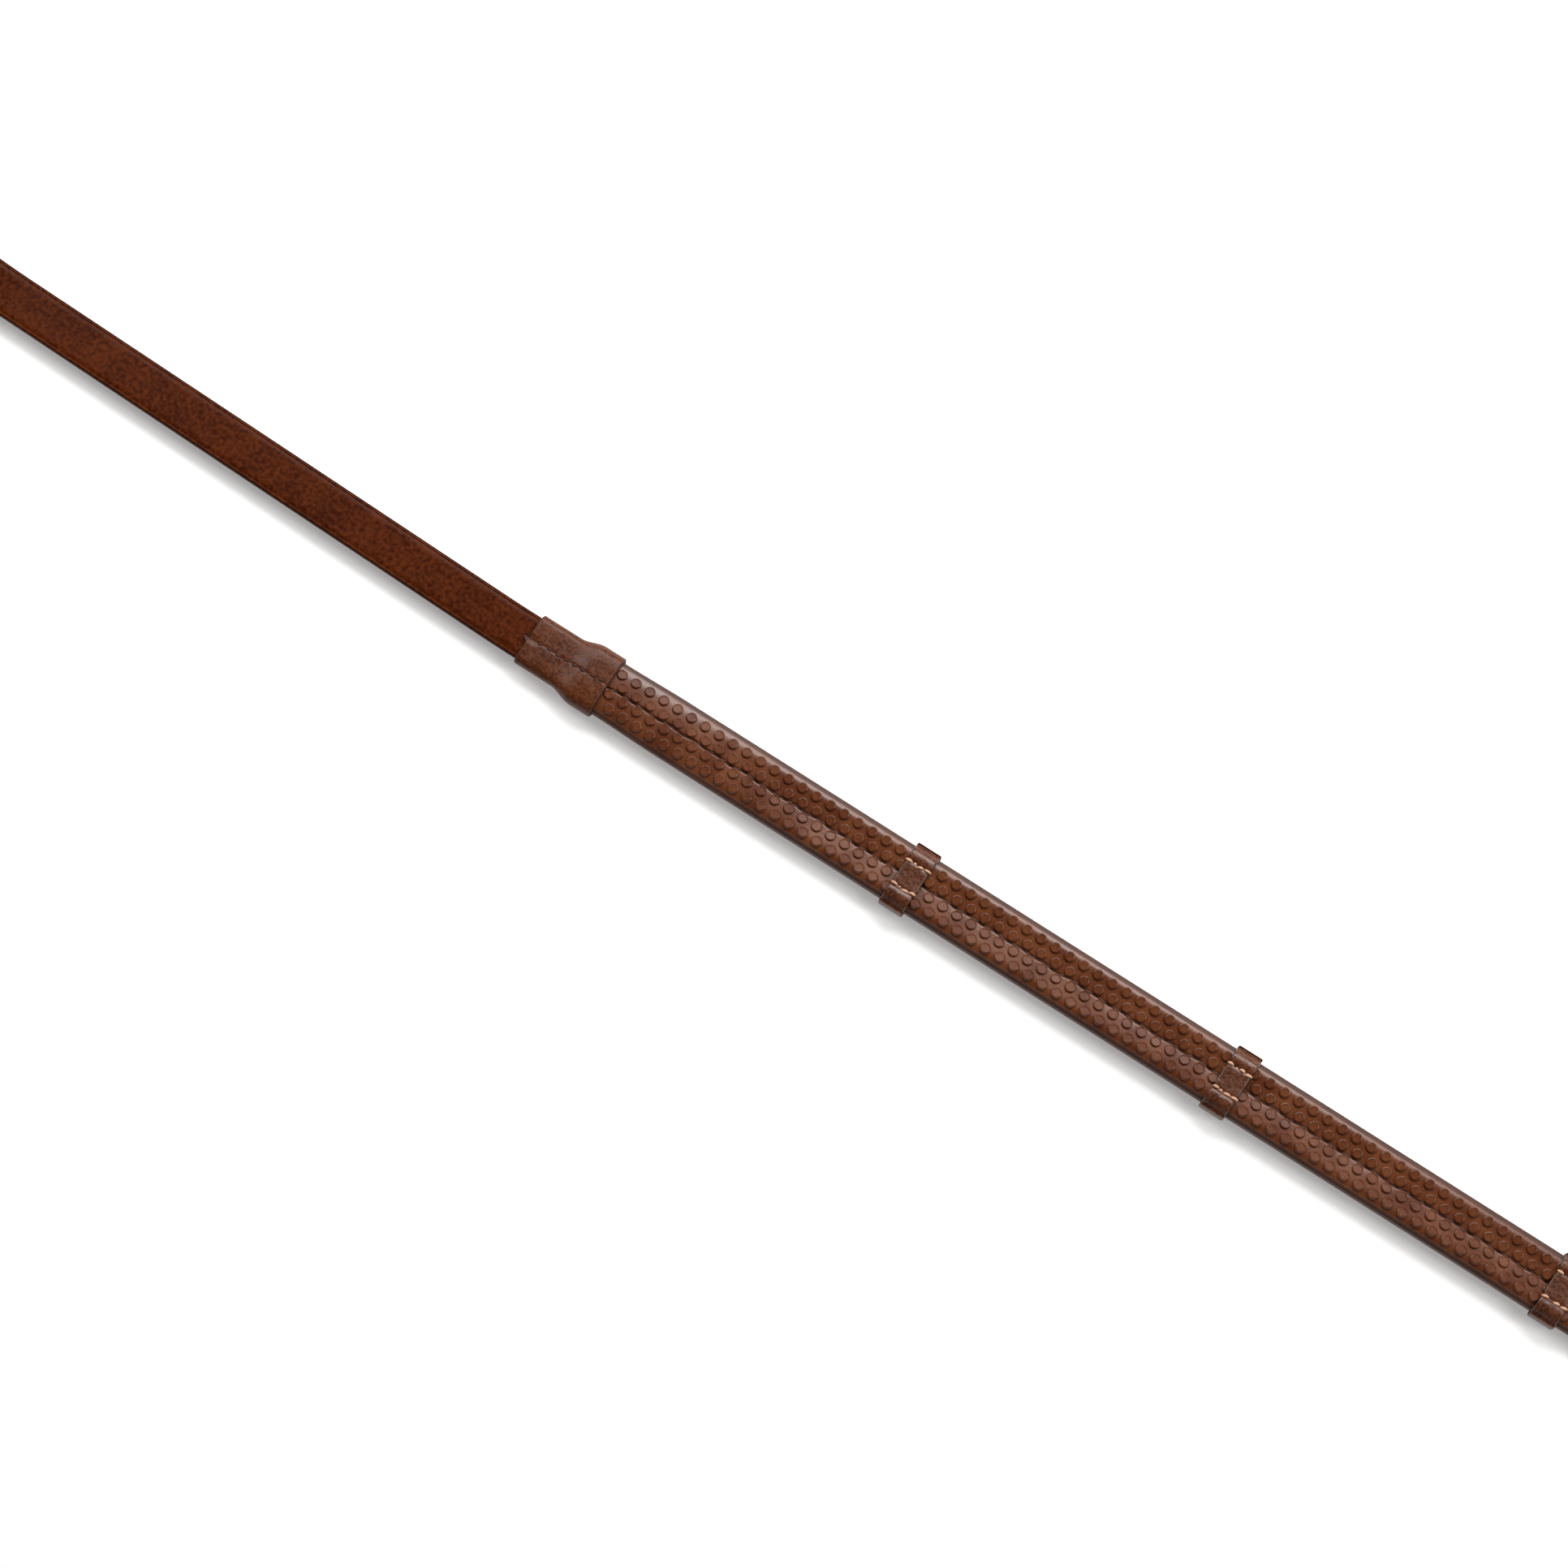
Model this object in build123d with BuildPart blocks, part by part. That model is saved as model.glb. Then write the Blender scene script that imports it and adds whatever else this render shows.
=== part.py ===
"""One leather rein with a pimpled rubber grip and five leather hand stops.

The rein lies on a flat surface. Its bit end is turned back in a loop and held by a hook stud, its
flat leather strap runs along +X into a leather sleeve, and the rubber grip follows. Past the third
hand stop the grip turns onto its edge and the rest lies in one open loop, which ends in a buckle.

Frame: the origin is on the axis of the bit loop, +X runs along the strap, +Y is across it and +Z is
up, away from the surface that the rein lies on. Distances "along" the rein are counted from there.
"""
from build123d import *
import os
from math import atan, cos, degrees, pi, radians, sin, tan

os.makedirs("parts", exist_ok=True)

# ---- driving dimensions, in millimetres and degrees ----------------------------------------------
strap_width = 16.0
strap_thickness = 2.8
fit = 0.05  # gap on each face between leather or rubber and what it is wrapped round
edge_gap = 0.1  # gap where the ends of two pieces meet

# bit end
bit_loop_radius = 6.0  # inside the loop, for the ring of a bit
bit_leg_gap = 0.4  # between the strap and its turned-back end
bit_loop_angle = 30.0  # how steeply the legs close below the loop
bit_leg_blend = 12.0  # bend radius where the legs come together
turned_back_length = 104.0
settle_start = 112.0  # where the strap leaves the turned-back end and sinks to its level
settle_length = 40.0
stud_along = 62.0
stud_shank_radius = 1.6
stud_head_radius = 3.6
stud_head_height = 1.4
stud_hook_length = 9.0
stud_hook_thickness = 1.6
stud_hook_gap = 0.3
stud_washer_radius = 4.6
stud_washer_thickness = 0.6
stud_hole_gap = 0.1
bit_fixed_keeper_along = 28.0
bit_runner_keeper_along = 82.0
bit_runner_gap = 0.3
bit_stitch_count = 4

# keepers
keeper_length = 10.0
keeper_leather = 1.3
keeper_corner = 1.6
keeper_side_gap = 0.3
fixed_keeper_gap = 0.1

# sleeve over the end of the grip
sleeve_along = 360.0
sleeve_leather = 1.3
sleeve_strap_part = 15.0
sleeve_shoulder = 6.0
sleeve_grip_part = 10.0
splice_depth = 8.0  # how far the strap reaches into the sleeve before it meets the grip's core
sleeve_corner = 2.0
sleeve_groove_depth = 0.5
sleeve_thread_thickness = 0.4

# rubber grip
grip_width = 21.0
grip_thickness = 7.0
grip_corner = 3.2
corner_flat = 0.3  # least flat height on an edge, from its middle to the start of a round corner
pimple_height = 0.5  # the grip's ends are bare of pimples, and this much lower
seam_width = 1.2
seam_depth = 0.9
seam_thread_width = 0.8
seam_thread_thickness = 0.5
sleeve_to_stop = 117.0

# hand stops
stop_count = 5
flat_stop_count = 3
stop_pitch = 121.4
stop_length = 8.9
stop_leather = 1.3
stop_corner = 4.3
stop_row_offset = 4.5
stop_groove_width = 1.0
stop_groove_depth = 0.45
stop_stitch_count = 4
stop_stitch_pitch = 2.2

# stitches of waxed thread
stitch_length = 1.8
stitch_width = 0.8
stitch_thickness = 0.36
stitch_gap = 0.04
end_stitch_length = 3.0
end_stitch_pitch = 4.0
end_row_inset = 2.6  # from the strap's edge to a row of stitches

# how the rein lies
entry_bend_radius = 600.0
entry_bend_angle = 1.25
entry_bend_end_gap = 2.0  # straight length between that bend and the sleeve
twist_margin = 5.0  # flat length between a hand stop and the twist
first_bend_margin = 8.0
first_bend_radius = 100.0
sleeve_margin = 12.0
second_bend_radius = 60.0
end_heading = 260.0
end_straight = 100.0
twist_sections = 12

# buckle
buckle_wire = 2.8
buckle_reach = 17.0
buckle_side_gap = 0.8  # between the strap's edge and the side of the frame
buckle_corner_gap = 0.1  # from the strap's edge to where the bar bends into the side of the frame
bar_gap = 0.1
buckle_leg_gap = 0.2
buckle_fold_angle = 25.0
buckle_leg_blend = 6.0
chape_length = 62.0
tongue_slot_width = 5.0
tongue_slot_back = 9.0
tongue_width = 3.0
tongue_thickness = 1.6
tongue_overhang = 1.4
buckle_fixed_keeper_back = 24.0  # from the bar to the keeper's far edge
buckle_runner_keeper_back = 56.0
billet_room = 3.2  # inside the buckle keepers, for the other rein's end
buckle_runner_gap = 0.6  # clears the stitches on the back of the chape
chape_stitch_start = 28.0
chape_stitch_count = 8

# ---- levels and distances that follow ------------------------------------------------------------
stop_outer_width = grip_width + 2 * (fit + stop_leather)
stop_outer_thickness = grip_thickness + 2 * (fit + stop_leather)
grip_end_width = grip_width - 2 * pimple_height
grip_end_thickness = grip_thickness - 2 * pimple_height
grip_round = min(grip_corner, grip_thickness / 2 - corner_flat)
stop_round = min(stop_corner, stop_outer_thickness / 2 - corner_flat)
surface_level = -(bit_loop_radius + strap_thickness)
strap_level = surface_level + stop_outer_thickness / 2
bit_leg_level = (bit_leg_gap + strap_thickness) / 2
settle_drop = bit_leg_level - strap_level
settle_angle = 2 * atan(settle_drop / settle_length)
settle_radius = settle_length / (2 * sin(settle_angle))
route_start = settle_start + settle_length

sleeve_length = sleeve_strap_part + sleeve_shoulder + sleeve_grip_part
stops_along = [sleeve_along + sleeve_length + sleeve_to_stop + i * stop_pitch for i in range(stop_count)]
last_flat_stop = stops_along[flat_stop_count - 1]
first_edge_stop = stops_along[flat_stop_count]
rear_sleeve_along = stops_along[-1] + sleeve_to_stop  # where the grip goes into the rear sleeve
grip_start = sleeve_along + sleeve_strap_part + sleeve_shoulder
grip_end = rear_sleeve_along + sleeve_grip_part
rear_splice = rear_sleeve_along + sleeve_length - splice_depth

twist_start = last_flat_stop + stop_length / 2 + twist_margin
twist_end = first_edge_stop - stop_length / 2 - twist_margin
first_bend_start = first_edge_stop + stop_length / 2 + first_bend_margin
first_bend_end = rear_sleeve_along - sleeve_margin
second_bend_start = rear_sleeve_along + sleeve_length + sleeve_margin
first_bend_angle = degrees((first_bend_end - first_bend_start) / first_bend_radius)
second_bend_angle = end_heading - entry_bend_angle - first_bend_angle
second_bend_end = second_bend_start + radians(second_bend_angle) * second_bend_radius
entry_bend_length = radians(entry_bend_angle) * entry_bend_radius
entry_bend_start = sleeve_along - entry_bend_end_gap - entry_bend_length
bar_along = second_bend_end + end_straight

# Each span of the route is (kind, start, end, bend radius), in order along the rein.
spans = [
    ("straight", route_start, entry_bend_start, None),
    ("bend", entry_bend_start, entry_bend_start + entry_bend_length, entry_bend_radius),
    ("straight", entry_bend_start + entry_bend_length, twist_start, None),
    ("twist", twist_start, twist_end, None),
    ("straight", twist_end, first_bend_start, None),
    ("bend", first_bend_start, first_bend_end, first_bend_radius),
    ("straight", first_bend_end, second_bend_start, None),
    ("bend", second_bend_start, second_bend_end, second_bend_radius),
    ("straight", second_bend_end, bar_along, None),
]


def lay_out(spans):
    """Give each span the point and the heading (radians from +X) that it starts with."""
    x, y, heading = route_start, 0.0, 0.0
    laid = []
    for kind, start, end, radius in spans:
        laid.append((kind, start, end, radius, x, y, heading))
        if radius:
            turned = heading + (end - start) / radius
            x += radius * (sin(turned) - sin(heading))
            y += radius * (cos(heading) - cos(turned))
            heading = turned
        else:
            x += (end - start) * cos(heading)
            y += (end - start) * sin(heading)
    return laid


route = lay_out(spans)


def on_edge_angle(along):
    """How far the rein has turned onto its edge: 0 lying flat, a right angle past the twist."""
    share = min(max((along - twist_start) / (twist_end - twist_start), 0.0), 1.0)
    return pi / 2 * share * share * (3 - 2 * share)


def station(along):
    """The plane square to the rein at a distance along it: x across the strap, y out of its front."""
    kind, start, end, radius, x, y, heading = next(span for span in route if along <= span[2] + 1e-6)
    if radius:
        turned = heading + (along - start) / radius
        x += radius * (sin(turned) - sin(heading))
        y += radius * (cos(heading) - cos(turned))
        heading = turned
    else:
        x += (along - start) * cos(heading)
        y += (along - start) * sin(heading)
    lean = on_edge_angle(along)
    half_height = stop_outer_width / 2 * sin(lean) + stop_outer_thickness / 2 * cos(lean)
    across = (-sin(heading) * cos(lean), cos(heading) * cos(lean), sin(lean))
    ahead = (cos(heading), sin(heading), 0)
    return Plane(origin=(x, y, surface_level + half_height), x_dir=across, z_dir=ahead)


def run(section, first, last, mode=Mode.ADD):
    """Carry the section that the given function draws along the rein, in the part being built."""
    for kind, start, end, radius, x, y, heading in route:
        low, high = max(first, start), min(last, end)
        if high <= low:
            continue
        stations = [low, high]
        if kind == "twist":
            stations = [low + (high - low) * i / twist_sections for i in range(twist_sections + 1)]
        drawn = []
        for along in stations:
            with BuildSketch(station(along)) as face:
                section()
            drawn.append(face.sketch)
        if kind == "straight":
            extrude(drawn[0], amount=high - low, mode=mode)
        elif kind == "twist":
            loft(drawn, mode=mode)
        else:
            centre = (x - radius * sin(heading), y + radius * cos(heading), 0)
            revolve(drawn[0], Axis(centre, (0, 0, 1)), degrees((high - low) / radius), mode=mode)


# ---- sections across the rein --------------------------------------------------------------------
def strap_section():
    Rectangle(strap_width, strap_thickness)


def strap_hole_section():
    Rectangle(strap_width + 2 * fit, strap_thickness + 2 * fit)


def grip_section():
    RectangleRounded(grip_width, grip_thickness, grip_round)


def grip_end_section():
    RectangleRounded(grip_end_width, grip_end_thickness, grip_round - pimple_height)


def grip_hole_section():
    RectangleRounded(grip_width + 2 * fit, grip_thickness + 2 * fit, grip_round + fit)


def stop_section():
    RectangleRounded(stop_outer_width, stop_outer_thickness, stop_round)


def seam_groove_section(side):
    with Locations((0, side * grip_thickness / 2)):
        Rectangle(seam_width, 2 * seam_depth)


def seam_thread_section(side):
    level = grip_thickness / 2 - seam_depth + fit + seam_thread_thickness / 2
    with Locations((0, side * level)):
        Rectangle(seam_thread_width, seam_thread_thickness)


def stop_groove_section():
    with GridLocations(2 * stop_row_offset, stop_outer_thickness, 2, 2):
        Rectangle(stop_groove_width, 2 * stop_groove_depth)


def save(piece, name):
    """Label a finished piece and write it to its own STEP file."""
    piece.part.label = name
    export_step(piece.part, f"parts/{name}.step")


# ---- leather strap, folded ends ------------------------------------------------------------------
def fold_line(radius, angle, blend, leg_level, standing_length, turned_length):
    """Centreline of a strap folded round a bar at the origin: the loop, then both legs towards +x."""
    lean = radians(angle)
    close_level = leg_level + blend * (1 - cos(lean))
    close_x = radius * sin(lean) + (radius * cos(lean) - close_level) / tan(lean)
    leg_x = close_x + blend * sin(lean)
    CenterArc((0, 0), radius, 90 - angle, 180 + 2 * angle)
    for side, length in ((1, standing_length), (-1, turned_length)):
        Line((radius * sin(lean), side * radius * cos(lean)), (close_x, side * close_level))
        CenterArc((leg_x, side * (leg_level + blend)), blend, -90 * side, -angle * side)
        Line((leg_x, side * leg_level), (length, side * leg_level))


with BuildPart() as front_strap:
    with BuildSketch(Plane.XZ) as side_view:
        with BuildLine() as centreline:
            fold_line(
                bit_loop_radius + strap_thickness / 2,
                bit_loop_angle,
                bit_leg_blend,
                bit_leg_level,
                settle_start,
                turned_back_length,
            )
            turn = degrees(settle_angle)
            CenterArc((settle_start, bit_leg_level - settle_radius), settle_radius, 90, -turn)
            CenterArc((route_start, strap_level + settle_radius), settle_radius, 270 - turn, turn)
        trace(centreline.line, line_width=strap_thickness)
    extrude(amount=strap_width / 2, both=True)
    run(strap_section, route_start, sleeve_along + splice_depth - edge_gap / 2)
    with Locations(Location((stud_along, 0, bit_leg_level))):
        Cylinder(stud_shank_radius + stud_hole_gap, 2 * strap_thickness, mode=Mode.SUBTRACT)
    slot_length = stud_hook_length + 2 * stud_shank_radius + 4 * stud_hole_gap
    slot_centre = stud_along - stud_shank_radius - 2 * stud_hole_gap + slot_length / 2
    with BuildSketch(Plane.XY.offset(-bit_leg_level - strap_thickness)):
        with Locations((slot_centre, 0)):
            SlotOverall(slot_length, 2 * (stud_shank_radius + stud_hole_gap))
    extrude(amount=2 * strap_thickness, mode=Mode.SUBTRACT)
save(front_strap, "front_strap")

with BuildPart() as grip_core_strap:
    run(strap_section, sleeve_along + splice_depth + edge_gap / 2, rear_splice - edge_gap / 2)
save(grip_core_strap, "grip_core_strap")

rein_end = station(bar_along)
buckle_leg_level = (buckle_leg_gap + strap_thickness) / 2
bar_centre = rein_end.origin - rein_end.y_dir * buckle_leg_level
# x runs back from the bar along the strap, y out of its front, z up along the bar
chape_plane = Plane(origin=bar_centre, x_dir=-rein_end.z_dir, z_dir=rein_end.x_dir)

with BuildPart() as rear_strap:
    run(strap_section, rear_splice + edge_gap / 2, bar_along - chape_length)
    with BuildSketch(chape_plane) as top_view:
        with BuildLine() as centreline:
            fold_line(
                buckle_wire / 2 + bar_gap + strap_thickness / 2,
                buckle_fold_angle,
                buckle_leg_blend,
                buckle_leg_level,
                chape_length,
                chape_length,
            )
        trace(centreline.line, line_width=strap_thickness)
    extrude(amount=strap_width / 2, both=True)
    slot_front = buckle_wire / 2 + bar_gap + 2 * strap_thickness
    with BuildSketch(chape_plane):
        with Locations(((tongue_slot_back - slot_front) / 2, 0)):
            Rectangle(tongue_slot_back + slot_front, 4 * slot_front)
    extrude(amount=tongue_slot_width / 2, both=True, mode=Mode.SUBTRACT)
save(rear_strap, "rear_strap")

# ---- rubber grip and its seam --------------------------------------------------------------------
bare_start = sleeve_along + sleeve_length + edge_gap  # the grip's pimpled length, between the sleeves
bare_end = rear_sleeve_along - edge_gap

with BuildPart() as rubber_grip:
    run(grip_section, bare_start, bare_end)
    run(grip_end_section, grip_start, bare_start)
    run(grip_end_section, bare_end, grip_end)
    run(strap_hole_section, grip_start, grip_end, mode=Mode.SUBTRACT)
    for side in (1, -1):
        run(lambda: seam_groove_section(side), bare_start, bare_end, mode=Mode.SUBTRACT)
save(rubber_grip, "rubber_grip")

with BuildPart() as grip_seam_thread:
    for side in (1, -1):
        run(lambda: seam_thread_section(side), bare_start + edge_gap, bare_end - edge_gap)
save(grip_seam_thread, "grip_seam_thread")

# ---- hand stops ----------------------------------------------------------------------------------
for number, along in enumerate(stops_along, start=1):
    with BuildPart() as hand_stop:
        run(stop_section, along - stop_length / 2, along + stop_length / 2)
        run(grip_hole_section, along - stop_length / 2, along + stop_length / 2, mode=Mode.SUBTRACT)
        run(stop_groove_section, along - stop_length / 2, along + stop_length / 2, mode=Mode.SUBTRACT)
    save(hand_stop, f"hand_stop_{number}")

    level = stop_outer_thickness / 2 - stop_groove_depth + stitch_gap + stitch_thickness / 2
    with BuildPart() as hand_stop_stitches:
        for i in range(stop_stitch_count):
            start = along + (i - (stop_stitch_count - 1) / 2) * stop_stitch_pitch - stitch_length / 2
            with BuildSketch(station(start)):
                with GridLocations(2 * stop_row_offset, 2 * level, 2, 2):
                    Rectangle(stitch_width, stitch_thickness)
            extrude(amount=stitch_length)
    save(hand_stop_stitches, f"hand_stop_stitches_{number}")


# ---- sleeves over the ends of the grip -----------------------------------------------------------
def sleeve_loft(mouth, direction, section, mode=Mode.ADD):
    """Carry a section along a sleeve, drawn for the width and thickness of what the sleeve covers."""
    depths = (0, sleeve_strap_part, sleeve_strap_part + sleeve_shoulder, sleeve_length)
    widths = (strap_width, strap_width, grip_end_width, grip_end_width)
    thicknesses = (strap_thickness, strap_thickness, grip_end_thickness, grip_end_thickness)
    drawn = []
    for depth, width, thickness in zip(depths, widths, thicknesses):
        with BuildSketch(station(mouth + direction * depth)) as face:
            section(width, thickness)
        drawn.append(face.sketch)
    loft(drawn, ruled=True, mode=mode)


def sleeve_section(width, thickness):
    growth = 2 * (fit + sleeve_leather)
    RectangleRounded(width + growth, thickness + growth, sleeve_corner)


def sleeve_hole_section(width, thickness):
    Rectangle(width + 2 * fit, thickness + 2 * fit)


def sleeve_groove_section(width, thickness):
    with Locations((0, thickness / 2 + fit + sleeve_leather)):
        Rectangle(seam_width, 2 * sleeve_groove_depth)


def sleeve_thread_section(width, thickness):
    floor = thickness / 2 + fit + sleeve_leather - sleeve_groove_depth
    with Locations((0, floor + fit + sleeve_thread_thickness / 2)):
        Rectangle(seam_thread_width, sleeve_thread_thickness)


for side, mouth, direction in (
    ("bit_side", sleeve_along, 1),
    ("buckle_side", rear_sleeve_along + sleeve_length, -1),
):
    with BuildPart() as sleeve:
        sleeve_loft(mouth, direction, sleeve_section)
        sleeve_loft(mouth, direction, sleeve_hole_section, mode=Mode.SUBTRACT)
        sleeve_loft(mouth, direction, sleeve_groove_section, mode=Mode.SUBTRACT)
    save(sleeve, f"{side}_sleeve")

    with BuildPart() as sleeve_thread:
        sleeve_loft(mouth, direction, sleeve_thread_section)
    save(sleeve_thread, f"{side}_sleeve_thread")


# ---- keepers: leather loops that hold down the end of a strap ------------------------------------
def keeper_ring(plane, room_behind, room_in_front):
    """A loop round the strap, from the given plane on, with that much room on each face."""
    inner_width = strap_width + 2 * keeper_side_gap
    inner_thickness = room_behind + room_in_front
    both_sides = 2 * keeper_leather
    with BuildSketch(plane) as ring:
        with Locations((0, (room_in_front - room_behind) / 2)):
            RectangleRounded(inner_width + both_sides, inner_thickness + both_sides, keeper_corner)
            Rectangle(inner_width, inner_thickness, mode=Mode.SUBTRACT)
    extrude(ring.sketch, amount=keeper_length)


bit_legs_half = bit_leg_level + strap_thickness / 2
chape_half = buckle_leg_level + strap_thickness / 2

for name, along, gap in (
    ("bit_fixed_keeper", bit_fixed_keeper_along, fixed_keeper_gap),
    ("bit_runner_keeper", bit_runner_keeper_along, bit_runner_gap),
):
    with BuildPart() as keeper:
        keeper_ring(Plane.YZ.offset(along), bit_legs_half + gap, bit_legs_half + gap)
    save(keeper, name)

for name, back, gap in (
    ("buckle_fixed_keeper", buckle_fixed_keeper_back, fixed_keeper_gap),
    ("buckle_runner_keeper", buckle_runner_keeper_back, buckle_runner_gap),
):
    square_to_chape = Plane(
        origin=bar_centre - rein_end.z_dir * back, x_dir=rein_end.x_dir, z_dir=rein_end.z_dir
    )
    with BuildPart() as keeper:
        keeper_ring(square_to_chape, chape_half + gap, chape_half + billet_room)
    save(keeper, name)

# ---- hook stud at the bit end: a riveted shank through the strap, hooked through the turned-back end
stud_plane = Plane(origin=(stud_along, 0, 0), x_dir=(1, 0, 0), z_dir=(0, -1, 0))
washer_level = bit_legs_half + fit
head_level = washer_level + stud_washer_thickness + fit
hook_bottom = -bit_legs_half - stud_hook_gap - stud_hook_thickness

with BuildPart() as hook_stud:
    with BuildSketch(stud_plane):
        with BuildLine():
            Polyline(
                (0, head_level + stud_head_height),
                (0, hook_bottom),
                (stud_shank_radius, hook_bottom),
                (stud_shank_radius, head_level),
                (stud_head_radius, head_level),
            )
            TangentArc((0, head_level + stud_head_height), (stud_head_radius, head_level), tangent=(1, 0))
        make_face()
    revolve(axis=Axis((stud_along, 0, 0), (0, 0, 1)))
    with BuildSketch(Plane.XY.offset(hook_bottom)):
        with Locations((stud_along + stud_hook_length / 2, 0)):
            SlotOverall(stud_hook_length + 2 * stud_shank_radius, 2 * stud_shank_radius)
    extrude(amount=stud_hook_thickness)
save(hook_stud, "hook_stud")

with BuildPart() as hook_stud_washer:
    with BuildSketch(Plane.XY.offset(washer_level)):
        with Locations((stud_along, 0)):
            Circle(stud_washer_radius)
            Circle(stud_shank_radius + stud_hole_gap, mode=Mode.SUBTRACT)
    extrude(amount=stud_washer_thickness)
save(hook_stud_washer, "hook_stud_washer")

with BuildPart() as bit_end_stitches:
    with BuildSketch(Plane.XY.offset(bit_legs_half + stitch_gap)):
        with Locations((bit_fixed_keeper_along + keeper_length / 2, 0)):
            row_spacing = keeper_length + 2 * end_row_inset
            with GridLocations(row_spacing, end_stitch_pitch, 2, bit_stitch_count):
                Rectangle(stitch_width, end_stitch_length)
    extrude(amount=stitch_thickness)
save(bit_end_stitches, "bit_end_stitches")

with BuildPart() as chape_stitches:
    for row in (-1, 1):
        height = row * (strap_width / 2 - end_row_inset)
        with BuildSketch(chape_plane.offset(height - stitch_width / 2)):
            with Locations((chape_stitch_start + (chape_stitch_count - 1) / 2 * end_stitch_pitch, 0)):
                with GridLocations(
                    end_stitch_pitch, 2 * (chape_half + stitch_gap) + stitch_thickness, chape_stitch_count, 2
                ):
                    Rectangle(end_stitch_length, stitch_thickness)
        extrude(amount=stitch_width)
save(chape_stitches, "chape_stitches")

# ---- buckle: a wire frame turned about its own end bar, and a tongue on the same bar --------------
frame_plane = Plane(origin=bar_centre, x_dir=rein_end.z_dir, z_dir=rein_end.y_dir)
frame_half = strap_width / 2 + buckle_side_gap + buckle_wire / 2
buckle_corner = buckle_side_gap + buckle_wire / 2 - buckle_corner_gap

with BuildPart() as buckle_frame:
    with BuildLine(frame_plane) as wire:
        FilletPolyline(
            (0, -frame_half),
            (buckle_reach, -frame_half),
            (buckle_reach, frame_half),
            (0, frame_half),
            radius=buckle_corner,
            close=True,
        )
    with BuildSketch(Plane(origin=wire.line @ 0, z_dir=wire.line % 0)):
        Circle(buckle_wire / 2)
    sweep()
save(buckle_frame, "buckle_frame")

tongue_plane = Plane(origin=bar_centre, x_dir=rein_end.z_dir, z_dir=-rein_end.x_dir)
tongue_eye = buckle_wire / 2 + bar_gap
tongue_length = buckle_reach + buckle_wire / 2 + tongue_overhang

with BuildPart() as buckle_tongue:
    with BuildSketch(tongue_plane):
        Circle(tongue_eye + tongue_thickness)
        with Locations((tongue_length / 2, tongue_eye + tongue_thickness / 2)):
            Rectangle(tongue_length, tongue_thickness)
        Circle(tongue_eye, mode=Mode.SUBTRACT)
    extrude(amount=tongue_width / 2, both=True)
save(buckle_tongue, "buckle_tongue")
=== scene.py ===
"""A leather rein with a pimpled rubber grip and stitched leather hand stops, laid on a pale floor.

Each length is first made straight on the bench: x runs along the rein from the bit loop's axis, y across
it and z out of its front. It is then laid where the rein lies, over the CAD node that it stands for.
"""
import random
from math import atan, cos, pi, radians, sin, sqrt, tan

import bpy
from mathutils import Matrix, Vector, noise


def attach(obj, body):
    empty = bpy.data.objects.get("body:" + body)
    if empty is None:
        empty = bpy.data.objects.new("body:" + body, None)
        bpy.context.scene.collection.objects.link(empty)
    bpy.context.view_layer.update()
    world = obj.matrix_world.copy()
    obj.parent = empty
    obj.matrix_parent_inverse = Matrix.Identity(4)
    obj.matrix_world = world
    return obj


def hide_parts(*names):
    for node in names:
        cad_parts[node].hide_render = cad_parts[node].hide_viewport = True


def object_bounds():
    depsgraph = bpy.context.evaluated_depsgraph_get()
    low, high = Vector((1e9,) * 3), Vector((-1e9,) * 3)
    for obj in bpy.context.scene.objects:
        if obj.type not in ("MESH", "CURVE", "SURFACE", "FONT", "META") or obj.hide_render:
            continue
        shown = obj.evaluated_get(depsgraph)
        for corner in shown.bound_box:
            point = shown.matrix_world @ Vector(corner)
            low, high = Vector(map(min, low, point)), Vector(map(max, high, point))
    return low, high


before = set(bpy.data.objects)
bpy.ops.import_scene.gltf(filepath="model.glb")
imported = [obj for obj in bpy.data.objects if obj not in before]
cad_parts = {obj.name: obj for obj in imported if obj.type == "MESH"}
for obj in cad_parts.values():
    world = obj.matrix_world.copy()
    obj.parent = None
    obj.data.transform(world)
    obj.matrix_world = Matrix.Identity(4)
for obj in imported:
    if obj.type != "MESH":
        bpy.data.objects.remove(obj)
cad_low, cad_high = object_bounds()
mm = 0.001

# ==================================================================================================
# Floor, light and camera. A white table top that glows faintly, as a light table does, in a dim white
# room. One wide soft lamp stands across the rein and a fill lamp off each end of it. The camera looks
# almost straight down with a long lens.
# ==================================================================================================


def linear(colour):
    """An sRGB hex colour as the linear colour that a socket takes."""
    channels = [int(colour[i : i + 2], 16) / 255 for i in (1, 3, 5)]
    return [c / 12.92 if c <= 0.04045 else ((c + 0.055) / 1.055) ** 2.4 for c in channels] + [1.0]


def add_node(tree, kind, inputs=None, **settings):
    """Add a node, give it its settings, and set or link its inputs by name or number."""
    node = tree.nodes.new(kind)
    for name, value in settings.items():
        setattr(node, name, value)
    for name, value in (inputs or {}).items():
        if isinstance(value, bpy.types.NodeSocket):
            tree.links.new(value, node.inputs[name])
        else:
            node.inputs[name].default_value = value
    return node


def new_finish(name):
    """An empty material, its node tree and its Principled shader joined to the output."""
    finish = bpy.data.materials.new(name)
    finish.use_nodes = True
    tree = finish.node_tree
    tree.nodes.clear()
    shader = add_node(tree, "ShaderNodeBsdfPrincipled")
    add_node(tree, "ShaderNodeOutputMaterial", {"Surface": shader.outputs["BSDF"]})
    return finish, tree, shader


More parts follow.
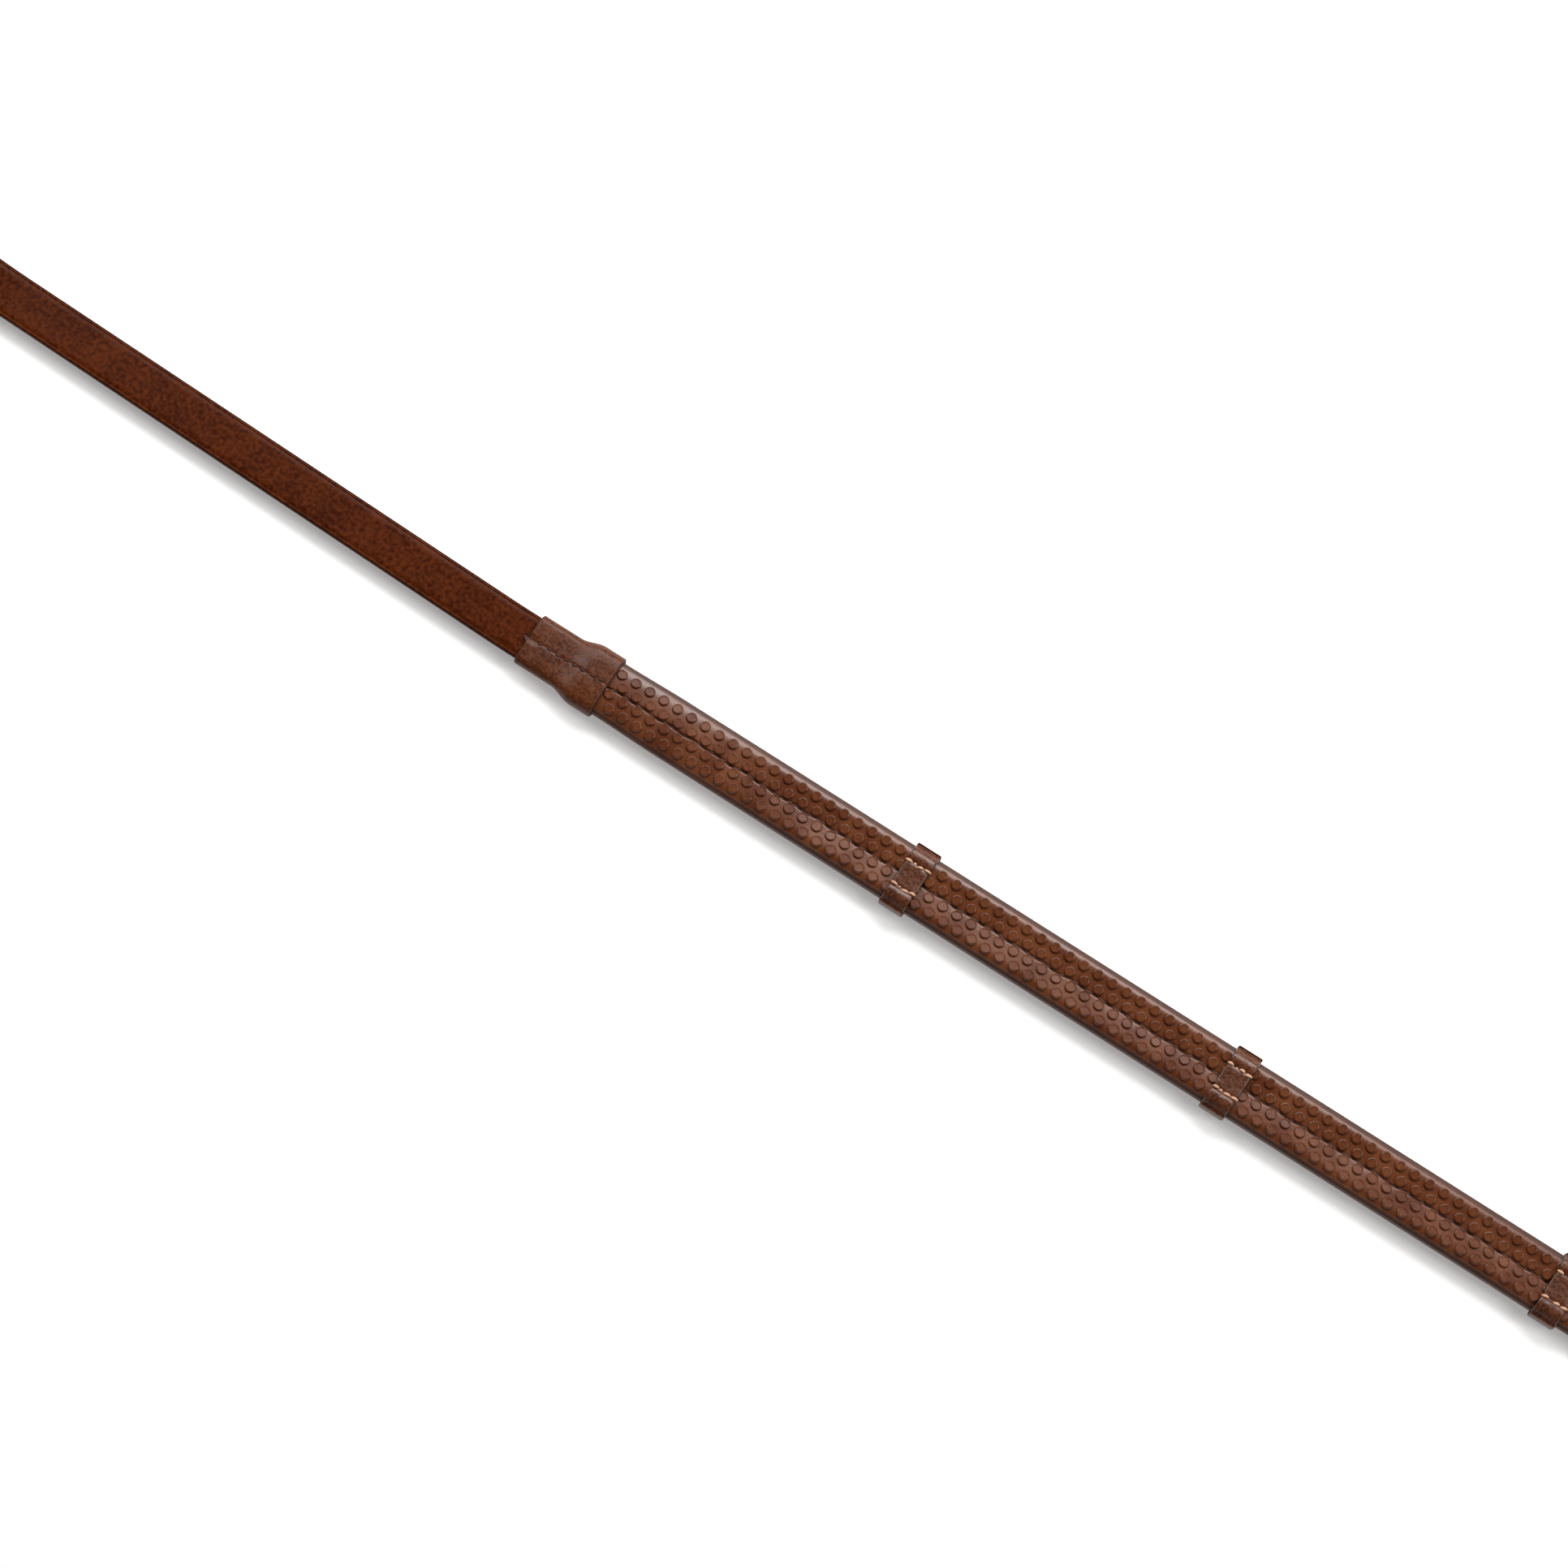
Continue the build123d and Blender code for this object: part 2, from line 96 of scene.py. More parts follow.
floor_size = 24.0
floor_gap = 0.02 * mm  # under the rein's lowest place
bpy.ops.object.select_all(action="DESELECT")
bpy.ops.mesh.primitive_plane_add(size=floor_size, location=(0.45, 0.1, cad_low.z - floor_gap))
floor = bpy.context.object
floor.name = "floor"
floor_finish, tree, shader = new_finish("white_table_top")
speckle = add_node(tree, "ShaderNodeTexNoise", {"Scale": 30.0, "Detail": 3.0})
tone = add_node(tree, "ShaderNodeMix", data_type="RGBA", inputs={0: speckle.outputs["Fac"]})
tone.inputs[6].default_value = linear("#f7f6f4")
tone.inputs[7].default_value = linear("#fbfbfa")
tree.links.new(tone.outputs[2], shader.inputs["Base Color"])
shader.inputs["Roughness"].default_value = 0.85
shader.inputs["Emission Color"].default_value = linear("#ffffff")
shader.inputs["Emission Strength"].default_value = 0.3
floor.data.materials.append(floor_finish)

world = bpy.data.worlds.new("white_room")
bpy.context.scene.world = world
world.use_nodes = True
world.node_tree.nodes["Background"].inputs["Color"].default_value = linear("#ffffff")
world.node_tree.nodes["Background"].inputs["Strength"].default_value = 0.08

# The camera is turned so that the rein crosses its view from upper left to lower right at this slope.
rein_slope = radians(34.2)
view_up = Vector((-sin(rein_slope), cos(rein_slope), 0))
camera_height_angle = radians(77.5)
camera_lens = 85.0
half_sensor = 18.0
view_width = 0.508
camera_target = Vector((0.4569, 0.0062, cad_low.z + 8 * mm))
camera_distance = view_width / 2 / (half_sensor / camera_lens)
bpy.ops.object.camera_add()
camera = bpy.context.object
camera.data.lens = camera_lens
camera.data.clip_start = 0.05
away = view_up * -cos(camera_height_angle) + Vector((0, 0, sin(camera_height_angle)))
camera.location = camera_target + away * camera_distance
camera.rotation_euler = (-away).to_track_quat("-Z", "Y").to_euler()
bpy.context.scene.camera = camera
bpy.context.scene.view_settings.view_transform = "Standard"


def soft_lamp(name, aim, distance, wide, high, power):
    """A soft box that looks at the camera's target from this direction."""
    aim = aim.normalized()
    bpy.ops.object.light_add(type="AREA", location=camera_target + aim * distance)
    lamp = bpy.context.object
    lamp.name = name
    lamp.data.shape = "RECTANGLE"
    lamp.data.size = wide
    lamp.data.size_y = high
    lamp.data.energy = power
    lamp.rotation_euler = aim.to_track_quat("Z", "Y").to_euler()


soft_lamp("key_lamp", Vector((-0.15, 0.8, 0.85)), 1.3, 1.1, 0.45, 13.5)
soft_lamp("left_fill_lamp", Vector((-1.0, 0.4, 0.8)), 1.7, 0.9, 0.9, 11.5)
soft_lamp("right_fill_lamp", Vector((1.0, 0.4, 0.8)), 1.7, 0.9, 0.9, 11.5)

# ==================================================================================================
# Flat leather straps. Bridle leather 16 mm wide, cut with square edges that are then rounded and
# creased by a hot iron. The bit end is folded into a loop, the other end round the bar of the buckle.
# ==================================================================================================
strap_width = 16.0 * mm
strap_thickness = 2.8 * mm
sleeve_along = 360.0 * mm
sleeve_length = 31.0 * mm
splice_depth = 8.0 * mm
stop_length = 8.9 * mm
stop_width = 23.7 * mm
stop_thickness = 9.7 * mm
stop_pitch = 121.4 * mm
stops_along = [508.0 * mm + i * stop_pitch for i in range(5)]
last_stop_to_sleeve = 117.0 * mm
rear_sleeve_along = stops_along[4] + last_stop_to_sleeve
rear_splice = rear_sleeve_along + sleeve_length - splice_depth
strap_level = cad_low.z + stop_thickness / 2

# The rein bends slightly at the first sleeve, turns up on its edge between the third and fourth stop,
# and then goes round in two bends, one on each side of the rear sleeve, back to its end.
entry_bend_radius = 600.0 * mm
entry_bend_angle = radians(1.25)
entry_bend_length = entry_bend_angle * entry_bend_radius
entry_bend_end_gap = 2.0 * mm
entry_bend_start = sleeve_along - entry_bend_end_gap - entry_bend_length
twist_margin = 5.0 * mm
twist_start = stops_along[2] + stop_length / 2 + twist_margin
twist_end = stops_along[3] - stop_length / 2 - twist_margin
first_bend_margin = 8.0 * mm
sleeve_margin = 12.0 * mm
first_bend_start = stops_along[3] + stop_length / 2 + first_bend_margin
first_bend_end = rear_sleeve_along - sleeve_margin
first_bend_radius = 100.0 * mm
second_bend_start = rear_sleeve_along + sleeve_length + sleeve_margin
second_bend_radius = 60.0 * mm
end_heading = radians(260.0)
first_bend_turn = (first_bend_end - first_bend_start) / first_bend_radius
second_bend_turn = end_heading - entry_bend_angle - first_bend_turn
second_bend_end = second_bend_start + second_bend_turn * second_bend_radius
end_straight = 100.0 * mm
bar_along = second_bend_end + end_straight


def walk(moves, x, y, heading, distance):
    """Point and heading after a distance along straight moves and arcs, whose radius is + to the left."""
    for length, radius in moves:
        step = min(distance, length)
        if radius:
            turned = heading + step / radius
            x += radius * (sin(turned) - sin(heading))
            y += radius * (cos(heading) - cos(turned))
            heading = turned
        else:
            x += step * cos(heading)
            y += step * sin(heading)
        distance -= step
    return x + distance * cos(heading), y + distance * sin(heading), heading


route = [
    (entry_bend_start, None),
    (entry_bend_length, entry_bend_radius),
    (first_bend_start - entry_bend_start - entry_bend_length, None),
    (first_bend_end - first_bend_start, first_bend_radius),
    (second_bend_start - first_bend_end, None),
    (second_bend_end - second_bend_start, second_bend_radius),
]


def lie(along, across, out):
    """Where a point of the straight bench piece lies on the floor."""
    x, y, heading = walk(route, min(along, 0.0), 0.0, 0.0, max(along, 0.0))
    share = min(max((along - twist_start) / (twist_end - twist_start), 0.0), 1.0)
    lean = pi / 2 * share * share * (3 - 2 * share)
    height = stop_width / 2 * sin(lean) + stop_thickness / 2 * cos(lean)
    sideways = across * cos(lean) - out * sin(lean)
    rise = across * sin(lean) + out * cos(lean)
    return Vector((x - sin(heading) * sideways, y + cos(heading) * sideways, cad_low.z + height + rise))


def reshape(piece, rule):
    """Move every point of a piece by a rule that takes a place on the bench and gives its new place."""
    for point in piece.data.vertices:
        point.co = rule(*point.co)
    piece.data.update()


def keep_bench_places(piece, middle=0.0):
    """Store each point's place on the bench, in millimetres from the middle, for patterns to follow."""
    bench = piece.data.attributes.new("bench", "FLOAT_VECTOR", "POINT")
    for point, kept in zip(piece.data.vertices, bench.data):
        kept.vector = (point.co - Vector((middle, 0, 0))) / mm


def pick_edges(piece, chosen):
    """Go into edit mode with only those edges selected whose two ends pass the test."""
    bpy.ops.object.select_all(action="DESELECT")
    bpy.context.view_layer.objects.active = piece
    piece.select_set(True)
    bpy.ops.object.mode_set(mode="EDIT")
    bpy.ops.mesh.select_mode(type="EDGE")
    bpy.ops.mesh.select_all(action="DESELECT")
    bpy.ops.object.mode_set(mode="OBJECT")
    points = piece.data.vertices
    for edge in piece.data.edges:
        edge.select = chosen(points[edge.vertices[0]].co, points[edge.vertices[1]].co)
    bpy.ops.object.mode_set(mode="EDIT")


def long_piece(name, outline, first, last, cuts, ends="NGON"):
    """A bar or tube along x with this outline across it; each of the cuts divides all its lengths again."""
    bpy.ops.object.select_all(action="DESELECT")
    bpy.ops.mesh.primitive_cylinder_add(
        vertices=len(outline),
        depth=last - first,
        end_fill_type=ends,
        location=((first + last) / 2, 0, 0),
        rotation=(0, pi / 2, 0),
    )
    piece = bpy.context.object
    piece.name = name
    bpy.ops.object.transform_apply(location=True, rotation=True, scale=True)
    for i, (y, z) in enumerate(outline):  # the cylinder's points come in pairs, one at each end
        for point in piece.data.vertices[2 * i : 2 * i + 2]:
            point.co = (point.co.x, y, z)
    for cut in cuts:
        pick_edges(piece, lambda a, b: abs(a.x - b.x) > 1e-6)
        bpy.ops.mesh.subdivide(number_cuts=cut)
        bpy.ops.object.mode_set(mode="OBJECT")
    pick_edges(piece, lambda a, b: True)
    bpy.ops.mesh.normals_make_consistent(inside=False)
    bpy.ops.object.mode_set(mode="OBJECT")
    bpy.ops.object.shade_smooth_by_angle(angle=radians(50))
    return piece


def whole_outline(quarter):
    """The outline all the way round, from the quarter that runs from an edge to the front's middle."""
    half = quarter + [(-y, z) for y, z in reversed(quarter) if y > 0]
    return half + [(y, -z) for y, z in reversed(half) if z > 0]


def corner(y, z, radius, steps):
    """Points round a quarter circle whose outer corner is at y, z, from the edge towards the front."""
    turns = [pi / 2 * i / steps for i in range(steps + 1)]
    return [(y - radius + radius * cos(t), z - radius + radius * sin(t)) for t in turns]


def leather(name, deep, light, edge, axis, half, grain, patch, roughness, relief, specular):
    """Dyed and waxed hide: dark in its pores, patchy where it is handled, with painted shade darkening its
    cut edges.

    The edges lie half from the middle along the axis; half, grain and patch are in millimetres.
    """
    finish, tree, shader = new_finish(name)
    bench = add_node(tree, "ShaderNodeAttribute", attribute_name="bench").outputs["Vector"]
    pores = add_node(tree, "ShaderNodeTexVoronoi", {"Vector": bench, "Scale": 1 / grain})
    fine = add_node(tree, "ShaderNodeTexNoise", {"Vector": bench, "Scale": 0.6 / grain, "Detail": 4.0})
    patches = add_node(tree, "ShaderNodeTexNoise", {"Vector": bench, "Scale": 1 / patch, "Detail": 2.0})
    mottled = {0: patches.outputs["Fac"], 1: 0.4, 2: fine.outputs["Fac"]}
    mixed = add_node(tree, "ShaderNodeMath", mottled, operation="MULTIPLY_ADD")
    spread = add_node(
        tree, "ShaderNodeMapRange", {"Value": mixed.outputs[0], "From Min": 0.55, "From Max": 0.85}
    )
    hide = add_node(tree, "ShaderNodeMix", {0: spread.outputs[0]}, data_type="RGBA")
    hide.inputs[6].default_value = linear(deep)
    hide.inputs[7].default_value = linear(light)
    measured = add_node(tree, "ShaderNodeSeparateXYZ", {0: bench}).outputs[axis]
    off_middle = add_node(tree, "ShaderNodeMath", {0: measured}, operation="ABSOLUTE").outputs[0]
    # Painted shade: towards the cut edges the colour darkens to the edge colour.
    edge_shade_mask = add_node(
        tree, "ShaderNodeMapRange", {"Value": off_middle, "From Min": half - 0.6, "From Max": half - 0.1}
    )
    edge_shaded = add_node(tree, "ShaderNodeMix", {0: edge_shade_mask.outputs[0], 6: hide.outputs[2]}, data_type="RGBA")
    edge_shaded.inputs[7].default_value = linear(edge)
    tree.links.new(edge_shaded.outputs[2], shader.inputs["Base Color"])
    gloss = add_node(
        tree, "ShaderNodeMapRange", {"Value": fine.outputs["Fac"], "From Min": 0.3, "From Max": 0.7}
    )
    gloss.inputs["To Min"].default_value = roughness - 0.08
    gloss.inputs["To Max"].default_value = roughness + 0.1
    tree.links.new(gloss.outputs[0], shader.inputs["Roughness"])
    wrinkled = {0: pores.outputs["Distance"], 1: 0.6, 2: fine.outputs["Fac"]}
    height = add_node(tree, "ShaderNodeMath", wrinkled, operation="MULTIPLY_ADD")
    bump = add_node(tree, "ShaderNodeBump", {"Height": height.outputs[0], "Strength": relief})
    bump.inputs["Distance"].default_value = 0.12 * mm
    tree.links.new(bump.outputs["Normal"], shader.inputs["Normal"])
    shader.inputs["Specular IOR Level"].default_value = specular
    return finish


bridle_leather = leather(
    "waxed_bridle_leather",
    "#3c1403",
    "#5c2709",
    # Painted shade at the cut edges:
    "#2c1006",
    axis="Y",
    half=strap_width / 2 / mm,
    grain=0.9,
    patch=14.0,
    roughness=0.38,
    relief=0.5,
    specular=0.08,
)

edge_round = 0.8 * mm
crease_in = 1.25 * mm  # from the edge to the iron's line
crease_half = 0.18 * mm
crease_depth = 0.14 * mm
half_width = strap_width / 2
half_thickness = strap_thickness / 2
crease = [
    (half_width - crease_in + crease_half, half_thickness),
    (half_width - crease_in, half_thickness - crease_depth),
    (half_width - crease_in - crease_half, half_thickness),
]
flat_face = [(5.0 * mm, half_thickness), (2.5 * mm, half_thickness), (0.0, half_thickness)]
strap_outline = whole_outline(
    [(half_width, 0.0)] + corner(half_width, half_thickness, edge_round, 4) + crease + flat_face
)


def fold_moves(radius, close_angle, blend, leg_level, first_leg, last_leg):
    """Moves of a strap folded round a bar: in along one leg, round the loop and back along the other."""
    lean = radians(close_angle)
    close_length = (radius * cos(lean) - leg_level - blend * (1 - cos(lean))) / sin(lean)
    reach = radius * sin(lean) + close_length * cos(lean) + blend * sin(lean)
    bend_in = [(blend * lean, blend), (close_length, None)]
    loop = [(radius * (pi + 2 * lean), -radius)]
    bend_out = [(close_length, None), (blend * lean, blend)]
    return [(first_leg - reach, None)] + bend_in + loop + bend_out + [(last_leg - reach, None)]


def fold(piece, moves, start, level, heading):
    """Bend a straight piece along moves seen from its side; its front stays on the left of the moves."""

    def rule(x, y, z):
        along, out, turned = walk(moves, start, level, heading, x)
        return Vector((along - z * sin(turned), y, out + z * cos(turned)))

    reshape(piece, rule)


# The bit end: its tip lies under the strap, and behind it the strap sinks to the level of the grip.
bit_loop_radius = 6.0 * mm
bit_loop_angle = 30.0
bit_leg_gap = 0.4 * mm
bit_leg_blend = 12.0 * mm
bit_leg_level = (bit_leg_gap + strap_thickness) / 2
turned_back = 104.0 * mm
settle_start = 112.0 * mm
settle_length = 40.0 * mm
settle_angle = 2 * atan((bit_leg_level - strap_level) / settle_length)
settle_radius = settle_length / (2 * sin(settle_angle))
bit_fold = fold_moves(
    bit_loop_radius + half_thickness, bit_loop_angle, bit_leg_blend, bit_leg_level, turned_back, settle_start
)
settle = [(settle_radius * settle_angle, -settle_radius), (settle_radius * settle_angle, settle_radius)]
bit_moves = bit_fold + settle
front_strap_length = sum(length for length, radius in bit_moves) + sleeve_along + splice_depth
front_strap_length -= settle_start + settle_length
front_strap = long_piece("bit_strap", strap_outline, 0.0, front_strap_length, (18, 18))
keep_bench_places(front_strap)
fold(front_strap, bit_moves, turned_back, -bit_leg_level, pi)
reshape(front_strap, lambda x, y, z: lie(x, y, z - strap_level))
front_strap.data.materials.append(bridle_leather)
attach(front_strap, "rein")
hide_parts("front_strap")

# The rider's end: the strap comes out of the rear sleeve and is folded back round the buckle's bar.
buckle_wire = 2.8 * mm
bar_gap = 0.1 * mm
buckle_fold_radius = buckle_wire / 2 + bar_gap + half_thickness
buckle_fold_angle = 25.0
buckle_leg_gap = 0.2 * mm
buckle_leg_blend = 6.0 * mm
buckle_leg_level = (buckle_leg_gap + strap_thickness) / 2
chape_length = 62.0 * mm
to_bar = bar_along - rear_splice
buckle_fold = fold_moves(
    buckle_fold_radius, buckle_fold_angle, buckle_leg_blend, buckle_leg_level, to_bar, chape_length
)
rear_strap_length = sum(length for length, radius in buckle_fold)
rear_strap = long_piece("buckle_strap", strap_outline, 0.0, rear_strap_length, (18, 18))

# The slot for the tongue is punched while the strap is flat: it goes round the bar when that is folded in.
slot_half_width = 2.5 * mm
slot_back = 9.0 * mm
bend_length = sum(length for length, radius in buckle_fold[1:6])
slot_middle = buckle_fold[0][0] + bend_length / 2
slot_half_length = slot_back - (to_bar - buckle_fold[0][0]) + bend_length / 2
bpy.ops.object.select_all(action="DESELECT")
bpy.ops.mesh.primitive_cylinder_add(vertices=32, radius=slot_half_width, depth=8 * mm)
punch = bpy.context.object
for point in punch.data.vertices:
    end = 1 if point.co.x > 0 else -1
    point.co.x += slot_middle + end * (slot_half_length - slot_half_width)
cut = rear_strap.modifiers.new("slot", "BOOLEAN")
cut.object = punch
cut.operation = "DIFFERENCE"
bpy.context.view_layer.objects.active = rear_strap
bpy.ops.object.modifier_apply(modifier="slot")
bpy.data.objects.remove(punch, do_unlink=True)
keep_bench_places(rear_strap)
fold(rear_strap, buckle_fold, rear_splice, 0.0, 0.0)
reshape(rear_strap, lie)
rear_strap.data.materials.append(bridle_leather)
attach(rear_strap, "rein")
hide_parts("rear_strap")

# The strap inside the grip: firm vegetable-tanned leather, undyed at its heart and never polished.
core_leather, tree, shader = new_finish("undyed_core_leather")
places = add_node(tree, "ShaderNodeTexCoord").outputs["Object"]
fibres = add_node(tree, "ShaderNodeTexNoise", {"Vector": places, "Scale": 1 / (1.2 * mm), "Detail": 4.0})
tan_hide = add_node(tree, "ShaderNodeMix", {0: fibres.outputs["Fac"]}, data_type="RGBA")
tan_hide.inputs[6].default_value = linear("#6d4428")
tan_hide.inputs[7].default_value = linear("#9a6b44")
tree.links.new(tan_hide.outputs[2], shader.inputs["Base Color"])
shader.inputs["Roughness"].default_value = 0.7
bump = add_node(tree, "ShaderNodeBump", {"Height": fibres.outputs["Fac"], "Strength": 0.4})
bump.inputs["Distance"].default_value = 0.1 * mm
tree.links.new(bump.outputs["Normal"], shader.inputs["Normal"])
core_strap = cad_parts["grip_core_strap"]
core_strap.data.materials.clear()
core_strap.data.materials.append(core_leather)

# ==================================================================================================
# Rubber grip. A sheet of pimpled rubber, moulded with a bead along each edge, wrapped round the strap
# and sewn along its middle, front and back. Where a sleeve holds it, it is pressed into a rounder shape.
# ==================================================================================================
rubber_width = 20.8 * mm
rubber_pressed = 20.0 * mm
rubber_face = 3.0 * mm  # from the middle of the core to the face between the pimples
pimple_pitch = 5.37 * mm
pimple_radius = 1.7 * mm
pimple_height = 0.5 * mm
pimple_rows = [(6.15 * mm, 0.0), (2.05 * mm, 0.5), (-2.05 * mm, 0.0), (-6.15 * mm, 0.5)]
seam_pitch = 4.8 * mm
grip_start = sleeve_along + 21.0 * mm
grip_end = rear_sleeve_along + 10.0 * mm
grip_bare = sleeve_along + sleeve_length  # where the grip comes out of the front sleeve


def ease(value, low, high):
    """A smooth step from 0 at low to 1 at high."""
    share = min(max((value - low) / (high - low), 0.0), 1.0)
    return share * share * (3 - 2 * share)


crown_height = 1.0 * mm
crown_half = 9.5 * mm
dish_depth = 0.9 * mm
dish_half = 7.0 * mm
lip_half = 2.2 * mm  # the rubber each side of the seam that the thread draws in
pucker_depth = 0.28 * mm
swell_height = 0.1 * mm


def face_drop(along, across):
    """How far the rubber's face is pressed down: to a crown by a sleeve, to a dish between them."""
    past_front_sleeve = ease(along, grip_bare + 28 * mm, grip_bare + 84 * mm)
    before_rear_sleeve = 1 - ease(along, grip_end - 70 * mm, grip_end - 20 * mm)
    dished = past_front_sleeve * before_rear_sleeve
    crown = crown_height * min(across / crown_half, 1.0) ** 2
    dish = dish_depth * max(1 - abs(across) / dish_half, 0.0)
    return crown * (1 - dished) + dish * dished


def seam_wave(along):
    """How far the hand-sewn seam wanders to one side."""
    zigzag = 0.2 * mm * sin(2 * pi * along / (2 * seam_pitch))
    return zigzag + 0.35 * mm * noise.noise(Vector((along / (9 * mm), 0, 3)))


def wrap_rubber(along, across, out):
    """Press a point of the plain rubber section to the shape that the rubber takes over its core."""
    side = 1 if out > 0 else -1
    lip = max(1 - abs(across) / lip_half, 0.0)
    past_front_sleeve = ease(along, grip_bare, grip_bare + 25 * mm)
    before_rear_sleeve = 1 - ease(along, grip_end - 35 * mm, grip_end - 10 * mm)
    squeeze = 1 - past_front_sleeve * before_rear_sleeve
    width = 1 - squeeze * (1 - rubber_pressed / rubber_width)
    depth = min(abs(out) / rubber_face, 1.0) ** 2
    pull = (along / seam_pitch) % 1.0 - 0.5  # the thread goes down through the rubber once in each pitch
    pucker = pucker_depth * lip * max(1 - abs(pull) / 0.16, 0.0)
    swell = swell_height * noise.noise(Vector((along / (17 * mm), across / (9 * mm), side)))
    swell *= 1 - ease(abs(across), 6.5 * mm, 8.5 * mm)
    out -= side * depth * (face_drop(along, across) + pucker + swell)
    return Vector((along, across * width + seam_wave(along) * min(lip * 2, 1.0), out))


def join_pieces(pieces, name):
    """Make one piece of several."""
    bpy.ops.object.select_all(action="DESELECT")
    for piece in pieces:
        piece.select_set(True)
    bpy.context.view_layer.objects.active = pieces[0]
    bpy.ops.object.join()
    joined = bpy.context.object
    joined.name = name
    return joined


def copy_along(piece, count, pitch):
    """Copy a piece along the rein, one every pitch."""
    copies = piece.modifiers.new("row", "ARRAY")
    copies.count = count
    copies.use_relative_offset = False
    copies.use_constant_offset = True
    copies.constant_offset_displace = (pitch, 0, 0)
    bpy.ops.object.modifier_apply(modifier="row")


def moulded_rubber(name, colour, worn, seam):
    """Moulded rubber: a skin with a low sheen, dusty where hands wear it, duller at its sides, with painted
    shade darkening its seam groove and its sides.
    """
    finish, tree, shader = new_finish(name)
    bench = add_node(tree, "ShaderNodeAttribute", attribute_name="bench").outputs["Vector"]
    cloud = add_node(tree, "ShaderNodeTexNoise", {"Vector": bench, "Scale": 1 / 9.0, "Detail": 4.0})
    grit = add_node(tree, "ShaderNodeTexNoise", {"Vector": bench, "Scale": 1 / 0.45, "Detail": 2.0})
    dusty = {0: cloud.outputs["Fac"], 1: grit.outputs["Fac"]}
    both = add_node(tree, "ShaderNodeMath", dusty, operation="MULTIPLY")
    spread = add_node(
        tree, "ShaderNodeMapRange", {"Value": both.outputs[0], "From Min": 0.15, "From Max": 0.38}
    )
    skin = add_node(tree, "ShaderNodeMix", {0: spread.outputs[0]}, data_type="RGBA")
    skin.inputs[6].default_value = linear(colour)
    skin.inputs[7].default_value = linear(worn)
    across = add_node(tree, "ShaderNodeSeparateXYZ", {0: bench}).outputs["Y"]
    off_seam = add_node(tree, "ShaderNodeMath", {0: across}, operation="ABSOLUTE").outputs[0]
    # Painted shade: the colour darkens in the bottom of the seam's groove.
    seam_groove_shade = add_node(
        tree, "ShaderNodeMapRange", {"Value": off_seam, "From Min": 0.4, "From Max": 0.22, "To Max": 0.8}
    )
    # Painted shade: the colour darkens along the rubber's sides, and the same band is also made rougher.
    side_shade_band = add_node(
        tree, "ShaderNodeMapRange", {"Value": off_seam, "From Min": 8.2, "From Max": 9.2, "To Max": 0.6}
    )
    shade_masks = {0: seam_groove_shade.outputs[0], 1: side_shade_band.outputs[0]}
    painted_shade_mask = add_node(tree, "ShaderNodeMath", shade_masks, operation="MAXIMUM")
    # The seam colour mixed in here is painted shade, for the seam's groove and the rubber's sides.
    rubber = add_node(tree, "ShaderNodeMix", {0: painted_shade_mask.outputs[0], 6: skin.outputs[2]}, data_type="RGBA")
    rubber.inputs[7].default_value = linear(seam)
    tree.links.new(rubber.outputs[2], shader.inputs["Base Color"])
    gloss = add_node(
        tree, "ShaderNodeMapRange", {"Value": cloud.outputs["Fac"], "From Min": 0.3, "From Max": 0.7}
    )
    gloss.inputs["To Min"].default_value = 0.27
    gloss.inputs["To Max"].default_value = 0.36
    dull = {0: side_shade_band.outputs[0], 1: 0.4, 2: gloss.outputs[0]}
    rubbed = add_node(tree, "ShaderNodeMath", dull, operation="MULTIPLY_ADD")
    tree.links.new(rubbed.outputs[0], shader.inputs["Roughness"])
    bump = add_node(tree, "ShaderNodeBump", {"Height": grit.outputs["Fac"], "Strength": 0.3})
    bump.inputs["Distance"].default_value = 0.06 * mm
    tree.links.new(bump.outputs["Normal"], shader.inputs["Normal"])
    shader.inputs["Specular IOR Level"].default_value = 0.6
    return finish


# The last colour is painted shade, for the seam's groove and the rubber's sides.
grip_rubber = moulded_rubber("moulded_grip_rubber", "#5c2b11", "#7a4320", "#1e0b04")

# A quarter of the section in millimetres: the round side, two low beads, the shoulder, the face and the
# groove that the seam draws into it.
rubber_side = [(10.4, 0.0), (10.4, 0.4), (10.32, 0.9), (10.18, 1.3)]
rubber_low_bead = [(10.04, 1.6), (9.86, 1.78), (9.66, 1.78)]
rubber_high_bead = [(9.48, 1.88), (9.3, 2.2), (9.1, 2.42), (8.86, 2.46)]
rubber_shoulder = [(8.66, 2.45), (8.4, 2.54), (8.0, 2.7), (7.4, 2.85), (6.7, 2.95)]
rubber_flat = [(y, 3.0) for y in (5.9, 5.0, 4.0, 3.0, 2.2, 1.5, 1.0, 0.7)]
rubber_groove = [(0.42, 2.92), (0.3, 2.68), (0.18, 2.48), (0.0, 2.4)]
rubber_quarter = rubber_side + rubber_low_bead + rubber_high_bead
rubber_quarter += rubber_shoulder + rubber_flat + rubber_groove
rubber_outline = whole_outline([(y * mm, z * mm) for y, z in rubber_quarter])
rubber = long_piece("rubber_wrap", rubber_outline, grip_start, grip_end, (24, 24))
keep_bench_places(rubber)
reshape(rubber, wrap_rubber)
reshape(rubber, lie)
rubber.data.materials.append(grip_rubber)
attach(rubber, "rein")
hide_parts("rubber_grip")

